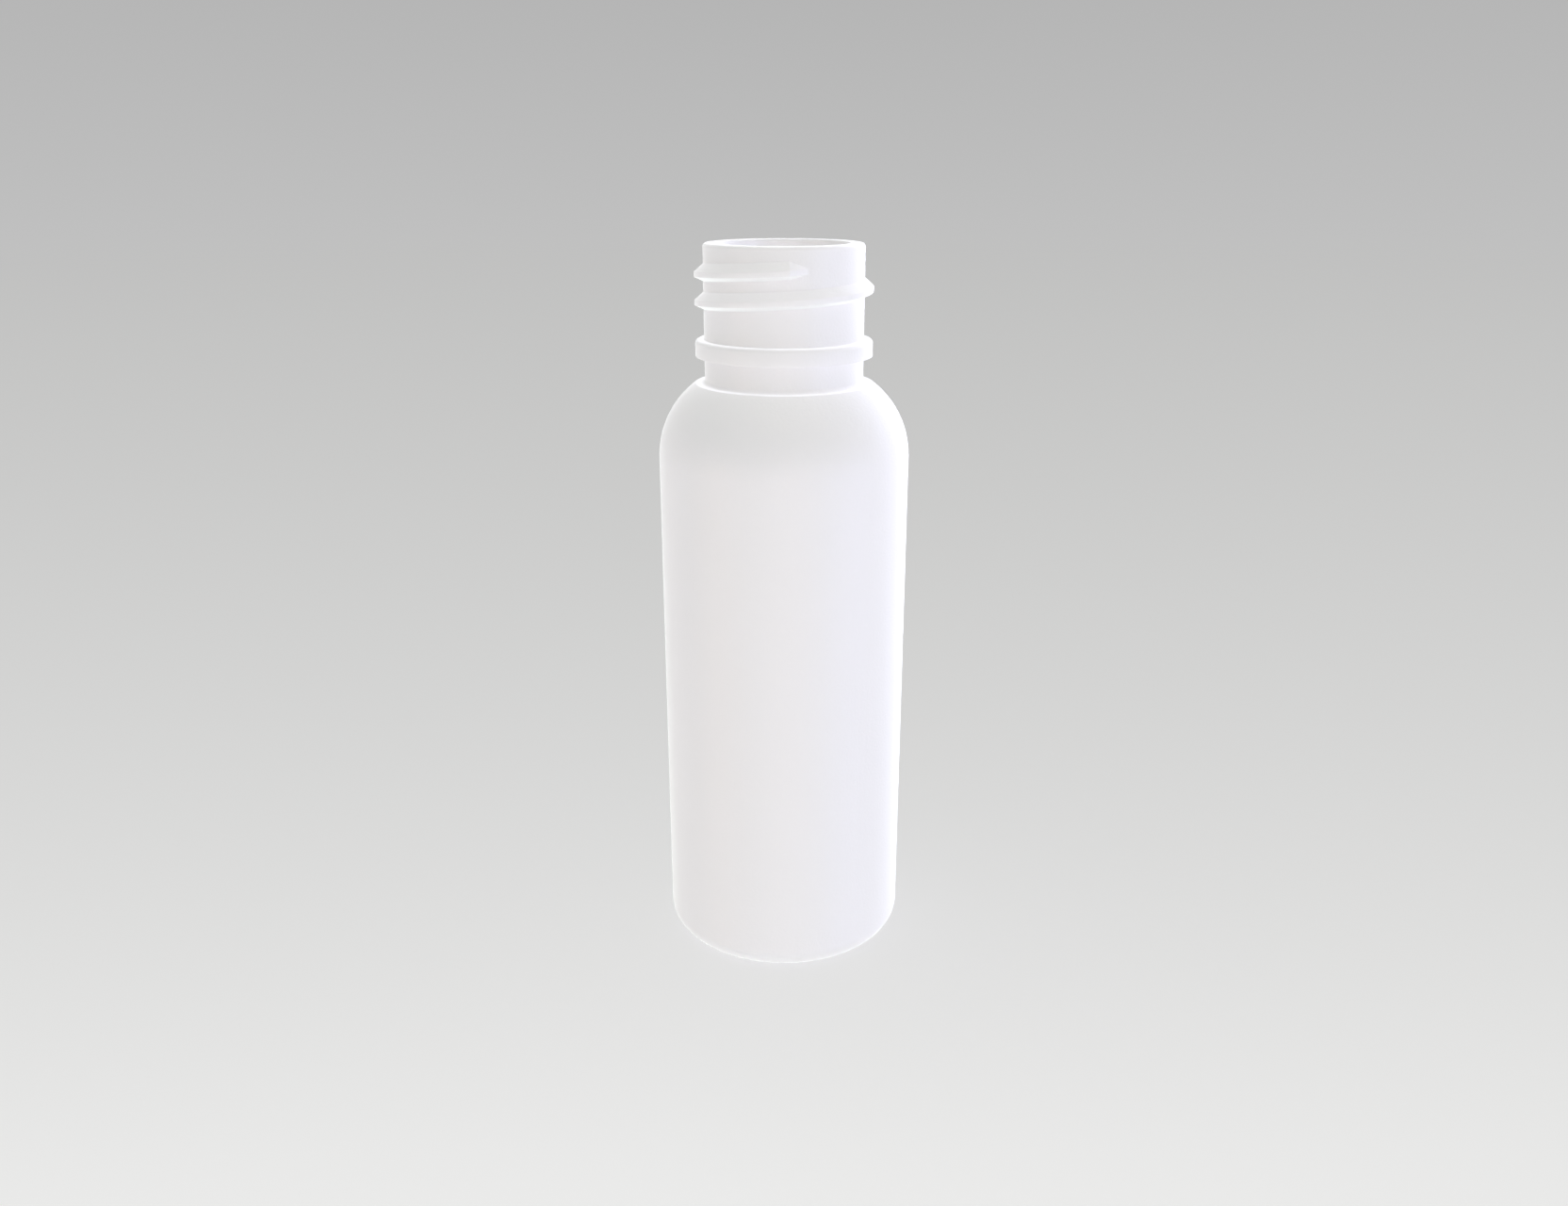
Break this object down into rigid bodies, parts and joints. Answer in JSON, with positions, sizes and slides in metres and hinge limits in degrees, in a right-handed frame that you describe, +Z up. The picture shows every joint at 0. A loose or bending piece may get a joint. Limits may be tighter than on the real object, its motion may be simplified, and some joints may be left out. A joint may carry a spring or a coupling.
{
  "type": "cosmetic bottle",
  "caption": "Open round bottle with a straight body, rounded heel and shoulder, and a hollow threaded neck with a bead under the thread.",
  "frame": {"origin": "centre of the foot, on the plane that the standing ring rests on", "axes": "+Z up along the bottle's axis towards the open mouth; -Y is the front that the picture shows, where the thread's upper end lies just right of the middle"},
  "size_m": [0.0286, 0.0286, 0.0835],
  "materials": {
    "white_plastic": "opaque white, soft shine"
  },
  "bodies": {
    "root": {"bottle": "white_plastic"}
  },
  "joints": []
}
